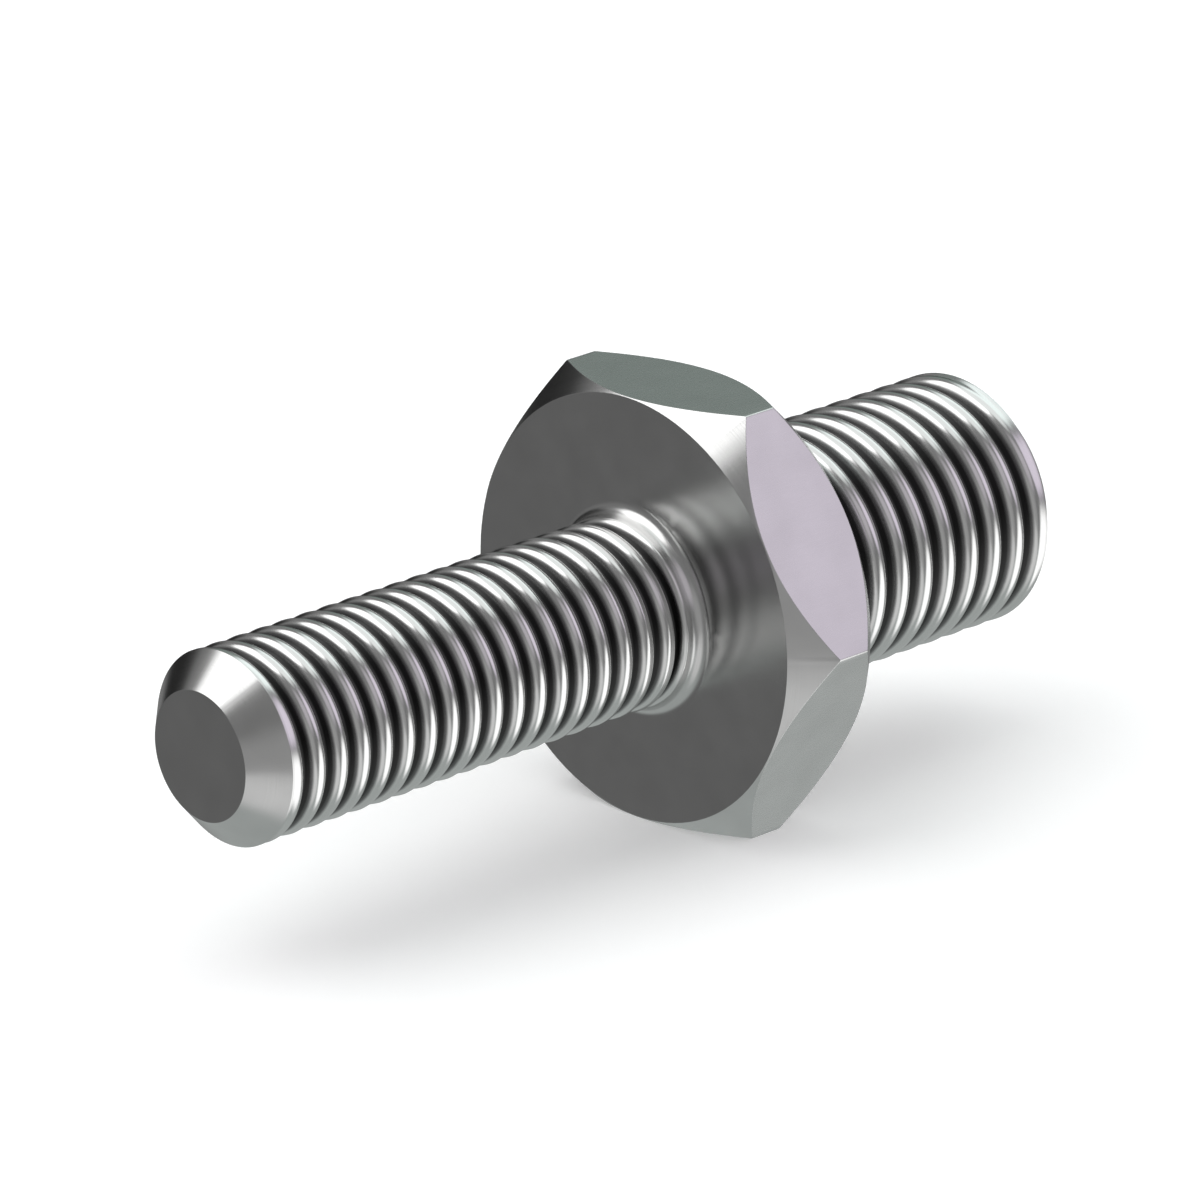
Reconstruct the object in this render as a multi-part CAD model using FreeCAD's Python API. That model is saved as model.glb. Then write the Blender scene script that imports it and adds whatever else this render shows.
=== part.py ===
import FreeCAD, Part
import math
import os

# Adjusting screw: a stud at each end and a hexagonal collar between them, turned from one bar.
# Millimetres and degrees. X runs along the screw from the nose to the rear end, and Z is up.
# The screw lies on one flat of its collar, and the origin is under its middle, on the floor.

# Front stud, the longer one. Its diameter is the crest of a 12 mm thread.
front_stud_diameter = 12.0
front_stud_length = 34.5
nose_face_diameter = 8.0
nose_cone_length = 1.9
front_root_fillet = 0.9

# Hexagonal collar, chamfered on both faces. The inset is how far each face circle stays inside the flats.
collar_across_flats = 27.0
collar_thickness = 7.0
collar_face_inset = 0.05
collar_chamfer_angle = 48.0

# Rear stud, the thicker one. Its diameter is the crest of a 16 mm thread.
rear_stud_diameter = 16.0
rear_stud_length = 22.0
rear_end_face_diameter = 13.8
rear_end_cone_length = 1.1
rear_root_fillet = 0.9

# Places along the axis, counted from the nose face.
collar_front = front_stud_length
collar_rear = collar_front + collar_thickness
rear_end = collar_rear + rear_stud_length
collar_face_radius = collar_across_flats / 2 - collar_face_inset


def point(along, radius):
    """A point of an outline, at a place along the axis and a radius from it."""
    return FreeCAD.Vector(along, 0, radius)


def turned(edges):
    """The solid that a closed outline of edges makes when it is turned about the screw's axis."""
    outline = Part.Wire(edges)
    return Part.Face(outline).revolve(FreeCAD.Vector(0, 0, 0), FreeCAD.Vector(1, 0, 0), 360)


def line(start, end):
    return Part.LineSegment(start, end).toShape()


def stud(length, radius, tip_radius, tip_length, fillet):
    """A stud with its tip at the origin: a coned tip, a shank, and a concave fillet up to the collar's face."""
    tip_centre = point(0, 0)
    tip_rim = point(0, tip_radius)
    shank_start = point(tip_length, radius)
    shank_end = point(length - fillet, radius)
    fillet_middle = point(
        length - fillet + fillet * math.sin(math.radians(45)),
        radius + fillet - fillet * math.cos(math.radians(45)),
    )
    fillet_end = point(length, radius + fillet)
    root_centre = point(length, 0)
    return turned(
        [
            line(tip_centre, tip_rim),
            line(tip_rim, shank_start),
            line(shank_start, shank_end),
            Part.Arc(shank_end, fillet_middle, fillet_end).toShape(),
            line(fillet_end, root_centre),
            line(root_centre, tip_centre),
        ]
    )


def front_stud():
    return stud(
        front_stud_length,
        front_stud_diameter / 2,
        nose_face_diameter / 2,
        nose_cone_length,
        front_root_fillet,
    )


def rear_stud():
    """The rear stud, turned about so that its tip is at the rear end."""
    shape = stud(
        rear_stud_length,
        rear_stud_diameter / 2,
        rear_end_face_diameter / 2,
        rear_end_cone_length,
        rear_root_fillet,
    )
    shape.rotate(FreeCAD.Vector(0, 0, 0), FreeCAD.Vector(0, 0, 1), 180)
    shape.translate(FreeCAD.Vector(rear_end, 0, 0))
    return shape


def hexagonal_bar():
    """The hexagon over the collar's thickness, with flats straight above and below the axis."""
    corner_radius = collar_across_flats / 2 / math.cos(math.radians(30))
    corners = []
    for step in range(7):
        turn = math.radians(60 * step)
        across = corner_radius * math.cos(turn)
        height = corner_radius * math.sin(turn)
        corners.append(FreeCAD.Vector(collar_front, across, height))
    section = Part.Face(Part.makePolygon(corners))
    return section.extrude(FreeCAD.Vector(collar_thickness, 0, 0))


def chamfer_cones():
    """Two cones base to base, which leave a round face on each side of the collar and cut its corners."""
    middle = (collar_front + collar_rear) / 2
    ridge_radius = collar_face_radius + collar_thickness / 2 / math.tan(math.radians(collar_chamfer_angle))
    front_centre = point(collar_front, 0)
    front_rim = point(collar_front, collar_face_radius)
    ridge = point(middle, ridge_radius)
    rear_rim = point(collar_rear, collar_face_radius)
    rear_centre = point(collar_rear, 0)
    return turned(
        [
            line(front_centre, front_rim),
            line(front_rim, ridge),
            line(ridge, rear_rim),
            line(rear_rim, rear_centre),
            line(rear_centre, front_centre),
        ]
    )


def collar():
    return hexagonal_bar().common(chamfer_cones())


def adjusting_screw():
    """The whole screw as one solid, laid on the collar's lower flat."""
    screw = front_stud().fuse([collar(), rear_stud()]).removeSplitter()
    solid = screw.Solids[0]
    solid.translate(FreeCAD.Vector(-rear_end / 2, 0, collar_across_flats / 2))
    return solid


os.makedirs("parts", exist_ok=True)
adjusting_screw().exportStep("parts/adjusting_screw.step")
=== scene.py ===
import math

import bpy
import numpy as np
from mathutils import Matrix, Vector


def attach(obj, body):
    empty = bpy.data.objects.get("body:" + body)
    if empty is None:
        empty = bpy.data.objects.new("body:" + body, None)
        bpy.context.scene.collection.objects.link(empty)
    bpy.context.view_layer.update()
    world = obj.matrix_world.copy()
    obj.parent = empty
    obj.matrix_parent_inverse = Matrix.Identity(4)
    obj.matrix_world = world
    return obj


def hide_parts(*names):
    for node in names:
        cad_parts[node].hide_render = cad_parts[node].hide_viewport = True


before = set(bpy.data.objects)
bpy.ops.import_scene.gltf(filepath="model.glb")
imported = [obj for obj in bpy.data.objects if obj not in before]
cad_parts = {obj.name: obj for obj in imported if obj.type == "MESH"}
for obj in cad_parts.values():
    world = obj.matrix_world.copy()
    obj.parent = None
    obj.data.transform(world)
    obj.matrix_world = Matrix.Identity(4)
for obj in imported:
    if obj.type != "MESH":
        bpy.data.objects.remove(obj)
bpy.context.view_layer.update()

# Sizes of the screw, in millimetres. X is counted from the nose face until the mesh is placed.
NOSE_FACE_RADIUS = 4.0
NOSE_CONE_LENGTH = 1.9
FRONT_RADIUS = 6.0
FRONT_LENGTH = 34.5
COLLAR_APOTHEM = 13.5
COLLAR_THICKNESS = 7.0
COLLAR_FACE_RADIUS = 13.45
COLLAR_CHAMFER_ANGLE = 48.0
REAR_RADIUS = 8.0
REAR_LENGTH = 22.0
REAR_FACE_RADIUS = 6.9
REAR_CONE_LENGTH = 1.1
ROOT_FILLET = 0.9

COLLAR_FRONT = FRONT_LENGTH
COLLAR_REAR = COLLAR_FRONT + COLLAR_THICKNESS
REAR_END = COLLAR_REAR + REAR_LENGTH
AXIS_HEIGHT = COLLAR_APOTHEM

# The shanks are the plain cylinders between the cones and the root fillets.
FRONT_SHANK_START = NOSE_CONE_LENGTH
FRONT_SHANK_END = COLLAR_FRONT - ROOT_FILLET
REAR_SHANK_START = COLLAR_REAR + ROOT_FILLET
REAR_SHANK_END = REAR_END - REAR_CONE_LENGTH
PLAIN_RIM = 0.15

# Each thread runs from start to end along X, gains its depth over rise and loses it over fall.
# The phase is how far its first crest lies from the start, at the top of the screw.
FRONT_THREAD = {
    "start": FRONT_SHANK_START + PLAIN_RIM,
    "end": FRONT_SHANK_END - 0.05,
    "radius": FRONT_RADIUS,
    "pitch": 1.75,
    "phase": 1.25,
    "rise": (FRONT_SHANK_START + PLAIN_RIM, FRONT_SHANK_START + 1.0),
    "fall": (FRONT_SHANK_END - 0.05, FRONT_SHANK_END - 0.5),
}
REAR_THREAD = {
    "start": REAR_SHANK_START,
    "end": REAR_SHANK_END - PLAIN_RIM,
    "radius": REAR_RADIUS,
    "pitch": 2.0,
    "phase": 0.667,
    "rise": (REAR_SHANK_START + 0.1, REAR_SHANK_START + 1.3),
    "fall": (REAR_SHANK_END - PLAIN_RIM, REAR_SHANK_END - 0.75),
}

# Crests and roots are round, with these radii as parts of the pitch.
CREST_ROUNDING = 0.32
ROOT_ROUNDING = 0.10
FLANK_SLOPE = 30

# Small roundings left by the tools.
EDGE_BREAK = 0.025
CORNER_BREAK = 0.05
BREAK_STEPS = 4
FILLET_STEPS = 8

# Radii at which the flat faces are divided into rings.
NOSE_FACE_RING = 1.0
FRONT_FACE_RINGS = (8.5, 11.0)
BACK_FACE_RINGS = (11.5, 10.0)
REAR_FACE_RING = 1.5

TURNED, FLAT, THREAD = 0, 1, 2


def column_angles():
    """Angles of the mesh's columns round the axis, closer together beside the hexagon's corners."""
    angles = [math.radians(3.0 * i) for i in range(120)]
    for corner in range(6):
        for step in (-1.2, -0.4, -0.2, 0.2, 0.4, 1.2):
            angles.append(math.radians((60.0 * corner + step) % 360.0))
    return np.array(sorted(angles))


THETA = column_angles()
COLUMNS = len(THETA)


def hexagon_radius(theta):
    """Distance from the axis to the hexagon, with its corners rounded a little."""
    off_middle = abs((math.degrees(theta) % 60.0) - 30.0)
    r = COLLAR_APOTHEM / math.cos(math.radians(off_middle))
    to_corner = math.radians(30.0 - off_middle) * r
    blend = max(0.0, 1.0 - to_corner / (2.0 * CORNER_BREAK))
    return r - 0.35 * CORNER_BREAK * blend * blend


def rounded(points):
    """The polyline with each inner corner turned into a short curve."""
    out = [points[0]]
    for a, b, c in zip(points, points[1:], points[2:]):
        a, b, c = np.array(a), np.array(b), np.array(c)
        before = np.linalg.norm(a - b)
        after = np.linalg.norm(c - b)
        reach = min(EDGE_BREAK, 0.45 * before, 0.45 * after)
        start = b + (a - b) * reach / before
        end = b + (c - b) * reach / after
        for i in range(BREAK_STEPS + 1):
            t = i / BREAK_STEPS
            out.append(tuple((1 - t) ** 2 * start + 2 * t * (1 - t) * b + t * t * end))
    out.append(points[-1])
    return out


class Skin:
    """A closed skin built ring by ring from the nose to the rear end."""

    def __init__(self):
        self.points = []
        self.groove = []
        self.faces = []
        self.finish = []
        self.nose = self.point(0.0, 0.0, 0.0)
        self.last = None

    def point(self, x, r, theta, groove=0.0):
        self.points.append((x, r * math.cos(theta), r * math.sin(theta)))
        self.groove.append(groove)
        return len(self.points) - 1

    def face(self, corners, finish):
        kept = []
        for c in corners:
            if c not in kept:
                kept.append(c)
        if len(kept) > 2:
            self.faces.append(kept)
            self.finish.append(finish)

    def ring(self, place):
        """A ring of points, where place gives (x, r) for a column's angle."""
        return [self.point(*place(t), t) for t in THETA]

    def join(self, ring, finish):
        """Skin from the last ring, or from the middle of the nose face, to this one."""
        for j in range(COLUMNS):
            k = (j + 1) % COLUMNS
            if self.last is None:
                self.face([self.nose, ring[k], ring[j]], finish)
            else:
                self.face([self.last[j], self.last[k], ring[k], ring[j]], finish)
        self.last = ring

    def profile(self, rows, finish):
        """Plain turned rings through (x, r) rows."""
        for x, r in rows:
            self.join(self.ring(lambda t: (x, r)), finish)

    def close(self, x, finish):
        """Skin from the last ring to the axis."""
        end = self.point(x, 0.0, 0.0)
        for j in range(COLUMNS):
            self.face([self.last[j], self.last[(j + 1) % COLUMNS], end], finish)

    def thread(self, start, end, radius, pitch, phase, rise, fall):
        """A right-hand thread from the ring at start to a new ring at end.

        The rows follow the helix, so every crest and root is an edge of the mesh. They begin two
        turns back, where all columns lie before the start, and rows outside the thread fold onto
        its two end rings.
        """
        stations, depth = thread_stations(pitch)
        first = self.last
        last = self.ring(lambda t: (end, radius))
        per_turn = len(stations)
        turns = int(math.ceil((end - start) / pitch)) + 2
        rows = range(-2 * per_turn, per_turn * turns)
        table = {}
        for k in rows:
            turn, i = divmod(k, per_turn)
            offset, height = stations[i]
            for j in range(COLUMNS):
                x = start + phase + (turn + offset + THETA[j] / (2 * math.pi)) * pitch
                if x <= start + 1e-4:
                    table[k, j] = first[j]
                elif x >= end - 1e-4:
                    table[k, j] = last[j]
                else:
                    cut = smooth(x, *rise) * smooth(x, *fall) * (depth - height)
                    table[k, j] = self.point(x, radius - cut, THETA[j], cut / depth)
        for k in rows[:-1]:
            for j in range(COLUMNS):
                n = (j + 1) % COLUMNS
                ahead = per_turn if n == 0 else 0
                if (k + 1 + ahead, n) not in table:
                    continue
                near = [table[k, j], table[k + ahead, n]]
                far = [table[k + 1 + ahead, n], table[k + 1, j]]
                self.face(near + far, THREAD)
        self.last = last


def thread_stations(pitch):
    """One pitch of the thread's outline, crest to crest: (part of the pitch, height over the root)."""
    crest_radius = CREST_ROUNDING * pitch
    root_radius = ROOT_ROUNDING * pitch
    slope = math.radians(FLANK_SLOPE)
    sharp_root = root_radius - root_radius / math.sin(slope)
    sharp_crest = sharp_root + (pitch / 2) / math.tan(slope)
    crest_centre = sharp_crest - crest_radius / math.sin(slope)
    depth = crest_centre + crest_radius

    def on_crest(degrees):
        a = math.radians(degrees)
        return (crest_radius * math.sin(a), crest_centre + crest_radius * math.cos(a))

    def in_root(degrees):
        a = math.radians(degrees)
        return (pitch / 2 - root_radius * math.sin(a), root_radius - root_radius * math.cos(a))

    flank_top = on_crest(90 - FLANK_SLOPE)
    flank_foot = in_root(90 - FLANK_SLOPE)
    flank_middle = tuple((p + q) / 2 for p, q in zip(flank_top, flank_foot))
    crest = [on_crest(degrees) for degrees in (0, 15, 30, 45)]
    root = [in_root(degrees) for degrees in (30, 0)]
    side = crest + [flank_top, flank_middle, flank_foot] + root
    down = [(t / pitch, h) for t, h in side]
    up = [(1 - t / pitch, h) for t, h in reversed(side[1:-1])]
    return down + up, depth


def smooth(x, a, b):
    """0 at a, 1 at b and smooth between."""
    t = min(1.0, max(0.0, (x - a) / (b - a)))
    return t * t * (3 - 2 * t)


def root_fillet(face, away, radius):
    """Rows of the concave fillet from a stud to a face of the collar. Away is the stud's side, -1 or 1."""
    rows = []
    for i in range(FILLET_STEPS + 1):
        a = math.radians(90.0 * i / FILLET_STEPS)
        x = face + away * ROOT_FILLET * (1 - math.sin(a))
        rows.append((x, radius + ROOT_FILLET * (1 - math.cos(a))))
    return rows


def add_collar(s):
    """The collar: both faces, both chamfers and the six flats."""
    tangent = math.tan(math.radians(COLLAR_CHAMFER_ANGLE))
    columns = []
    for t in THETA:
        r = hexagon_radius(t)
        inset = (r - COLLAR_FACE_RADIUS) * tangent
        outline = [
            (COLLAR_FRONT, FRONT_FACE_RINGS[-1]),
            (COLLAR_FRONT, COLLAR_FACE_RADIUS),
            (COLLAR_FRONT + inset, r),
            (COLLAR_REAR - inset, r),
            (COLLAR_REAR, COLLAR_FACE_RADIUS),
            (COLLAR_REAR, BACK_FACE_RINGS[0]),
        ]
        columns.append(rounded(outline))
    # The flats follow the first point and two rounded corners.
    flat_row = 1 + 2 * (BREAK_STEPS + 1)
    for i in range(1, len(columns[0])):
        ring = [s.point(*columns[j][i], THETA[j]) for j in range(COLUMNS)]
        s.join(ring, FLAT if i == flat_row else TURNED)


def build_skin():
    s = Skin()
    nose = [
        (0.0, NOSE_FACE_RING),
        (0.0, NOSE_FACE_RADIUS),
        (FRONT_SHANK_START, FRONT_RADIUS),
        (FRONT_SHANK_START + PLAIN_RIM, FRONT_RADIUS),
    ]
    s.profile(rounded(nose), TURNED)
    s.thread(**FRONT_THREAD)
    s.profile(root_fillet(COLLAR_FRONT, -1, FRONT_RADIUS), TURNED)
    s.profile([(COLLAR_FRONT, r) for r in FRONT_FACE_RINGS], TURNED)
    add_collar(s)
    s.profile([(COLLAR_REAR, BACK_FACE_RINGS[1])], TURNED)
    s.profile(reversed(root_fillet(COLLAR_REAR, 1, REAR_RADIUS)), TURNED)
    s.thread(**REAR_THREAD)
    tail = [
        (REAR_SHANK_END - PLAIN_RIM, REAR_RADIUS),
        (REAR_SHANK_END, REAR_RADIUS),
        (REAR_END, REAR_FACE_RADIUS),
        (REAR_END, REAR_FACE_RING),
    ]
    s.profile(rounded(tail)[1:], TURNED)
    s.close(REAR_END, TURNED)
    return s


def screw_mesh():
    """The skin as a mesh in metres, laid on the collar's lower flat, without its unused points."""
    s = build_skin()
    used = sorted({c for f in s.faces for c in f})
    place = {c: i for i, c in enumerate(used)}
    points = np.array(s.points)[used]
    points[:, 0] -= REAR_END / 2
    points[:, 2] += AXIS_HEIGHT
    mesh = bpy.data.meshes.new("adjusting_screw_skin")
    mesh.from_pydata((points * 0.001).tolist(), [], [[place[c] for c in f] for f in s.faces])
    mesh.polygons.foreach_set("material_index", s.finish)
    mesh.polygons.foreach_set("use_smooth", [True] * len(s.faces))
    groove = mesh.attributes.new("groove", "FLOAT", "POINT")
    groove.data.foreach_set("value", [s.groove[c] for c in used])
    mesh.validate()
    mesh.update()
    return mesh


# Materials: bare steel with the marks that each way of making leaves, and painted shade in the thread
# roots.
STEEL_TONES = [(0.3, (0.60, 0.60, 0.595)), (0.7, (0.65, 0.65, 0.645))]
# Thread colours by groove depth: steel at the crests, then painted shade, darker towards the roots.
THREAD_TONES_WITH_ROOT_SHADE = [(0.26, (0.68, 0.68, 0.675)), (0.42, (0.20, 0.20, 0.20)), (0.62, (0.07, 0.07, 0.07))]

# Heights of the marks, in metres.
LATHE_MARKS = 0.0000005
DRAWING_MARKS = 0.0000002
ROLLING_MARKS = 0.000001


class Graph:
    """Short calls for building a metal's nodes."""

    def __init__(self, name):
        self.material = bpy.data.materials.new(name)
        self.material.use_nodes = True
        self.tree = self.material.node_tree
        self.tree.nodes.clear()
        self.shader = self.node("ShaderNodeBsdfPrincipled")
        self.shader.inputs["Metallic"].default_value = 1.0
        output = self.node("ShaderNodeOutputMaterial")
        self.link(self.shader.outputs[0], output.inputs[0])

    def node(self, kind, **settings):
        n = self.tree.nodes.new(kind)
        for key, value in settings.items():
            setattr(n, key, value)
        return n

    def link(self, a, b):
        self.tree.links.new(a, b)

    def math(self, operation, a, b):
        n = self.node("ShaderNodeMath", operation=operation)
        for socket, value in zip(n.inputs, (a, b)):
            if isinstance(value, float):
                socket.default_value = value
            else:
                self.link(value, socket)
        return n.outputs[0]

    def position(self):
        """Object coordinates in millimetres, with the screw's axis as X."""
        where = self.node("ShaderNodeTexCoord")
        n = self.node("ShaderNodeVectorMath", operation="MULTIPLY_ADD")
        self.link(where.outputs["Object"], n.inputs[0])
        n.inputs[1].default_value = (1000, 1000, 1000)
        n.inputs[2].default_value = (0, 0, -AXIS_HEIGHT)
        return n.outputs[0]

    def from_axis(self, position):
        """Distance from the screw's axis."""
        n = self.node("ShaderNodeVectorMath", operation="LENGTH")
        self.link(self.multiply(position, (0, 1, 1)), n.inputs[0])
        return n.outputs["Value"]

    def along_axis(self, position):
        n = self.node("ShaderNodeSeparateXYZ")
        self.link(position, n.inputs[0])
        return n.outputs["X"]

    def multiply(self, vector, factors):
        n = self.node("ShaderNodeVectorMath", operation="MULTIPLY")
        self.link(vector, n.inputs[0])
        n.inputs[1].default_value = factors
        return n.outputs[0]

    def noise(self, vector, scale, detail):
        n = self.node("ShaderNodeTexNoise")
        self.link(vector, n.inputs["Vector"])
        n.inputs["Scale"].default_value = scale
        n.inputs["Detail"].default_value = detail
        return n.outputs["Fac"]

    def noise_line(self, value, scale, detail):
        n = self.node("ShaderNodeTexNoise", noise_dimensions="1D")
        self.link(value, n.inputs["W"])
        n.inputs["Scale"].default_value = scale
        n.inputs["Detail"].default_value = detail
        return n.outputs["Fac"]

    def roughness(self, value, low, high, start=0.3, end=0.7):
        """Roughness from low to high while the value goes from start to end."""
        n = self.node("ShaderNodeMapRange")
        self.link(value, n.inputs["Value"])
        n.inputs["From Min"].default_value = start
        n.inputs["From Max"].default_value = end
        n.inputs["To Min"].default_value = low
        n.inputs["To Max"].default_value = high
        self.link(n.outputs["Result"], self.shader.inputs["Roughness"])

    def colour(self, value, stops):
        """Colour by the value, through (value, colour) stops."""
        n = self.node("ShaderNodeValToRGB")
        ramp_stops = n.color_ramp.elements
        while len(ramp_stops) < len(stops):
            ramp_stops.new(0.5)
        for stop, (at, colour) in zip(ramp_stops, stops):
            stop.position = at
            stop.color = (*colour, 1)
        self.link(value, n.inputs["Fac"])
        self.link(n.outputs["Color"], self.shader.inputs["Base Color"])

    def bump(self, height, distance, strength):
        n = self.node("ShaderNodeBump")
        n.inputs["Distance"].default_value = distance
        n.inputs["Strength"].default_value = strength
        self.link(height, n.inputs["Height"])
        self.link(n.outputs[0], self.shader.inputs["Normal"])


def turned_steel():
    """Faces, cones and fillets cut on a lathe: fine rings about the axis."""
    g = Graph("turned_steel")
    where = g.position()
    # The rings follow the radius on a face and the length on a cylinder.
    path = g.math("ADD", g.from_axis(where), g.math("MULTIPLY", g.along_axis(where), 0.7))
    rings = g.noise_line(path, 9.0, 3.0)
    g.colour(g.noise(where, 0.35, 2.0), STEEL_TONES)
    g.roughness(rings, 0.20, 0.25)
    g.bump(rings, LATHE_MARKS, 0.6)
    return g.material


def drawn_steel():
    """The hexagon's flats, left as the bar was drawn: fine lines along it."""
    g = Graph("drawn_steel_flat")
    where = g.position()
    lines = g.noise(g.multiply(where, (0.12, 1, 1)), 7.0, 2.0)
    g.colour(g.noise(where, 0.3, 2.0), STEEL_TONES)
    g.roughness(lines, 0.26, 0.28)
    g.bump(lines, DRAWING_MARKS, 0.3)
    return g.material


def rolled_thread():
    """The threads: burnished crests, and painted shade that darkens the flanks and roots the deeper they
    lie.
    """
    g = Graph("rolled_thread_steel")
    depth = g.node("ShaderNodeAttribute", attribute_name="groove").outputs["Fac"]
    streaks = g.noise(g.position(), 2.0, 3.0)
    # Groove depth with a little random streaking; the depth part paints shade into the grooves.
    root_shade_and_streaks = g.math("ADD", depth, g.math("MULTIPLY", g.math("SUBTRACT", streaks, 0.5), 0.04))
    g.colour(root_shade_and_streaks, THREAD_TONES_WITH_ROOT_SHADE)
    g.roughness(root_shade_and_streaks, 0.18, 0.34, 0.2, 0.8)
    g.bump(streaks, ROLLING_MARKS, 0.3)
    return g.material


mesh = screw_mesh()
for make in (turned_steel, drawn_steel, rolled_thread):
    mesh.materials.append(make())
screw = bpy.data.objects.new("screw_body", mesh)
bpy.context.scene.collection.objects.link(screw)
weighted = screw.modifiers.new("weighted_normals", "WEIGHTED_NORMAL")
weighted.mode = "FACE_AREA"
weighted.keep_sharp = True
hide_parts("adjusting_screw")
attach(screw, "root")


# The floor is a disc that turns up into a low wall, so that it also stands behind the screw in level
# views. Its sizes are in metres.
FLOOR_RADIUS = 0.8
FLOOR_BEND = 0.6
FLOOR_HEIGHT = 1.2
FLOOR_SIDES = 96
BEND_STEPS = 8


def floor_shape():
    """Points and faces of the floor, ring by ring from its middle."""
    rows = [(0.25, 0.0), (0.5, 0.0), (FLOOR_RADIUS, 0.0)]
    for i in range(1, BEND_STEPS + 1):
        a = math.radians(90.0 * i / BEND_STEPS)
        rows.append((FLOOR_RADIUS + FLOOR_BEND * math.sin(a), FLOOR_BEND - FLOOR_BEND * math.cos(a)))
    rows.append((FLOOR_RADIUS + FLOOR_BEND, FLOOR_HEIGHT))
    points = [(0.0, 0.0, 0.0)]
    for r, z in rows:
        for i in range(FLOOR_SIDES):
            a = 2 * math.pi * i / FLOOR_SIDES
            points.append((r * math.cos(a), r * math.sin(a), z))
    faces = []
    for i in range(FLOOR_SIDES):
        faces.append((0, 1 + i, 1 + (i + 1) % FLOOR_SIDES))
    for k in range(len(rows) - 1):
        low = 1 + k * FLOOR_SIDES
        high = low + FLOOR_SIDES
        for i in range(FLOOR_SIDES):
            n = (i + 1) % FLOOR_SIDES
            faces.append((low + i, high + i, high + n, low + n))
    return points, faces


def studio_floor():
    """White paper, which the metal doesn't reflect."""
    points, faces = floor_shape()
    floor_mesh = bpy.data.meshes.new("studio_floor")
    floor_mesh.from_pydata(points, [], faces)
    floor_mesh.polygons.foreach_set("use_smooth", [True] * len(faces))
    floor_mesh.update()
    material = bpy.data.materials.new("white_paper")
    material.use_nodes = True
    shader = material.node_tree.nodes["Principled BSDF"]
    shader.inputs["Base Color"].default_value = (0.93, 0.93, 0.93, 1)
    shader.inputs["Roughness"].default_value = 1.0
    shader.inputs["Specular IOR Level"].default_value = 0.0
    shader.inputs["Emission Color"].default_value = (1, 1, 1, 1)
    shader.inputs["Emission Strength"].default_value = 0.2
    floor_mesh.materials.append(material)
    floor = bpy.data.objects.new("studio_floor", floor_mesh)
    bpy.context.scene.collection.objects.link(floor)
    floor.visible_glossy = False


studio_floor()


# The studio round the screw: soft panels by direction, each laid over those before it, as
# (name, azimuth, elevation, half angle of the even part, half angle of the edge, colour).
AMBIENT = (0.24, 0.24, 0.24)
PANELS = [
    ("below", 0, -90, 35, 75, (0.455, 0.485, 0.475)),
    ("left_back", 133, -20, 15, 35, (0.165, 0.165, 0.165)),
    ("left_middle", -136, -6, 10, 33, (0.41, 0.41, 0.41)),
    ("left_low", -143, -42, 10, 28, (0.82, 0.82, 0.82)),
    ("back_low", 49, -1, 12, 18, (0.08, 0.08, 0.08)),
    ("back", 47, 23, 8, 13, (0.245, 0.298, 0.275)),
    ("overhead", 135, 61, 27, 32, (2.0, 2.0, 2.0)),
    ("right_overhead", 16, 50, 14, 28, (1.30, 1.42, 1.40)),
    ("lilac", -48, 25, 13, 29, (0.95, 0.87, 1.00)),
    ("right_low", -60, -36, 22, 38, (1.6, 1.6, 1.6)),
    ("black_flag", 85, 4, 12, 26, (0.02, 0.02, 0.02)),
    ("top", 5, 80, 18, 32, (1.10, 1.14, 1.13)),
    ("left_upper", -108, 32, 10, 30, (0.60, 0.57, 0.61)),
]


def direction(azimuth, elevation):
    a = math.radians(azimuth)
    e = math.radians(elevation)
    return (math.cos(e) * math.cos(a), math.cos(e) * math.sin(a), math.sin(e))


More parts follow.
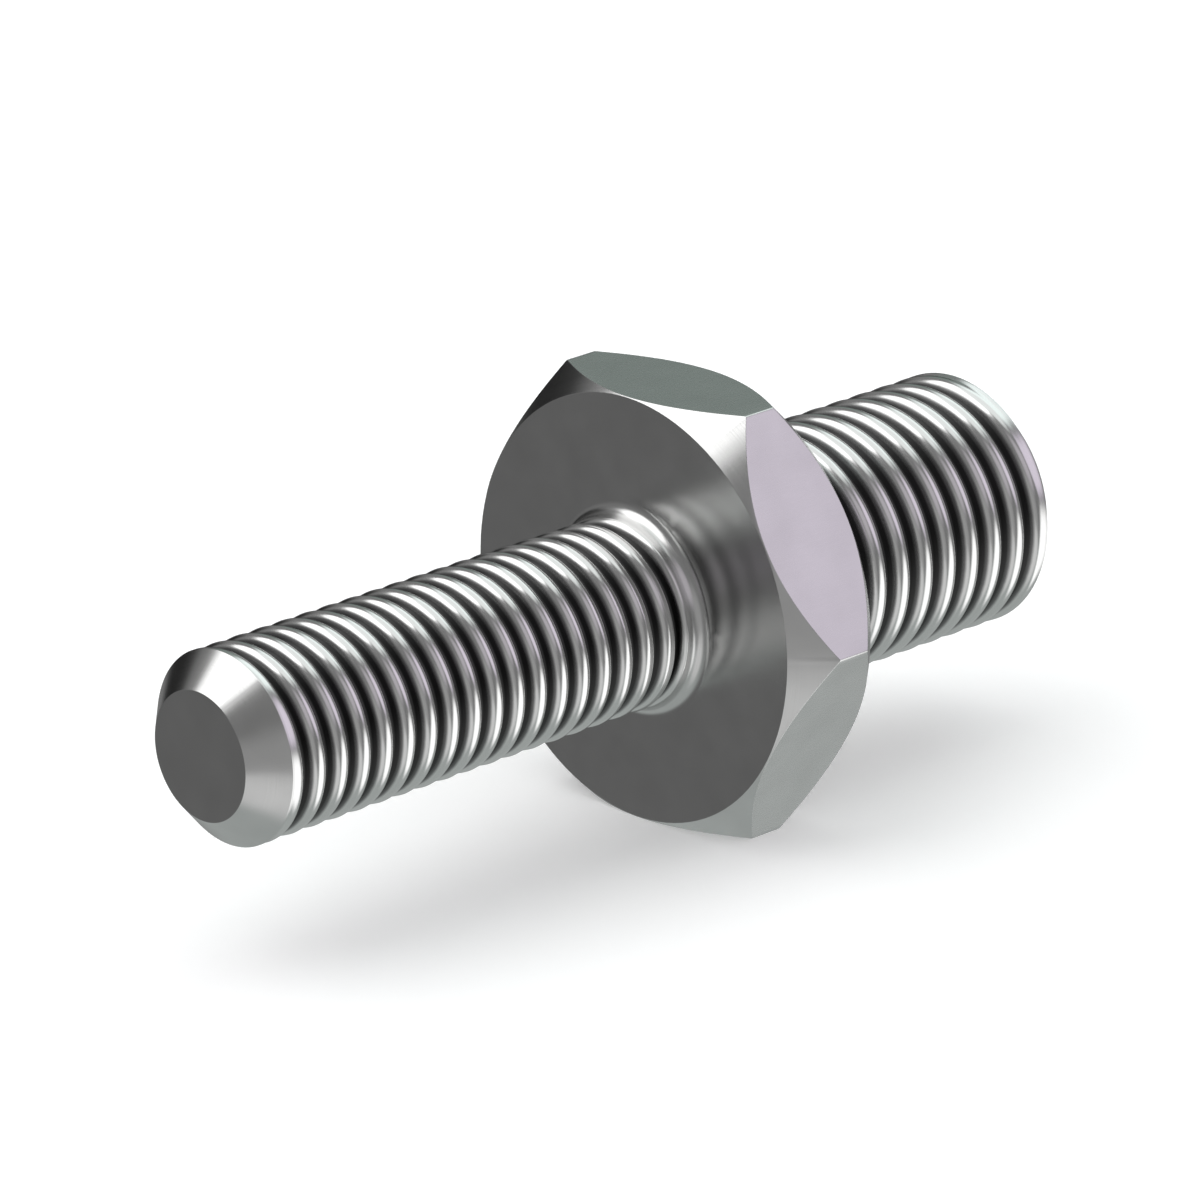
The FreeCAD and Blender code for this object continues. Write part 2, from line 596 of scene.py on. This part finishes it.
def studio_world():
    world = bpy.data.worlds.new("studio")
    bpy.context.scene.world = world
    world.use_nodes = True
    tree = world.node_tree
    tree.nodes.clear()
    where = tree.nodes.new("ShaderNodeTexCoord").outputs["Generated"]
    colour = None
    for name, azimuth, elevation, inner, outer, shade in PANELS:
        facing = tree.nodes.new("ShaderNodeVectorMath")
        facing.operation = "DOT_PRODUCT"
        facing.inputs[1].default_value = direction(azimuth, elevation)
        tree.links.new(where, facing.inputs[0])
        edge = tree.nodes.new("ShaderNodeMapRange")
        edge.interpolation_type = "SMOOTHSTEP"
        edge.inputs["From Min"].default_value = math.cos(math.radians(outer))
        edge.inputs["From Max"].default_value = math.cos(math.radians(inner))
        tree.links.new(facing.outputs["Value"], edge.inputs["Value"])
        mix = tree.nodes.new("ShaderNodeMix")
        mix.data_type = "RGBA"
        mix.label = name
        tree.links.new(edge.outputs["Result"], mix.inputs["Factor"])
        if colour is None:
            mix.inputs["A"].default_value = (*AMBIENT, 1)
        else:
            tree.links.new(colour, mix.inputs["A"])
        mix.inputs["B"].default_value = (*shade, 1)
        colour = mix.outputs["Result"]
    background = tree.nodes.new("ShaderNodeBackground")
    tree.links.new(colour, background.inputs["Color"])
    background.inputs["Strength"].default_value = 1.0
    output = tree.nodes.new("ShaderNodeOutputWorld")
    tree.links.new(background.outputs[0], output.inputs[0])


studio_world()


# The camera that took the photograph: metres, degrees, and millimetres for its lens and sensor.
CAMERA_PLACE = Vector((-0.34428, -0.37007, 0.19878))
CAMERA_AIM = Vector((0.002476, 0.002457, 0.0135))
CAMERA_ROLL = 1.1837
CAMERA_LENS = 268.09
SENSOR_WIDTH = 36.0


def photo_camera():
    data = bpy.data.cameras.new("photo_camera")
    camera = bpy.data.objects.new("photo_camera", data)
    bpy.context.scene.collection.objects.link(camera)
    data.sensor_width = SENSOR_WIDTH
    data.lens = CAMERA_LENS
    data.clip_start = 0.01
    data.clip_end = 20.0
    ahead = (CAMERA_AIM - CAMERA_PLACE).normalized()
    right = ahead.cross(Vector((0, 0, 1))).normalized()
    up = right.cross(ahead)
    roll = math.radians(CAMERA_ROLL)
    rolled_right = right * math.cos(roll) - up * math.sin(roll)
    rolled_up = right * math.sin(roll) + up * math.cos(roll)
    turn = Matrix((rolled_right, rolled_up, -ahead)).transposed().to_4x4()
    camera.matrix_world = Matrix.Translation(CAMERA_PLACE) @ turn
    bpy.context.scene.camera = camera


photo_camera()
bpy.context.scene.view_settings.view_transform = "Standard"

bpy.context.view_layer.update()
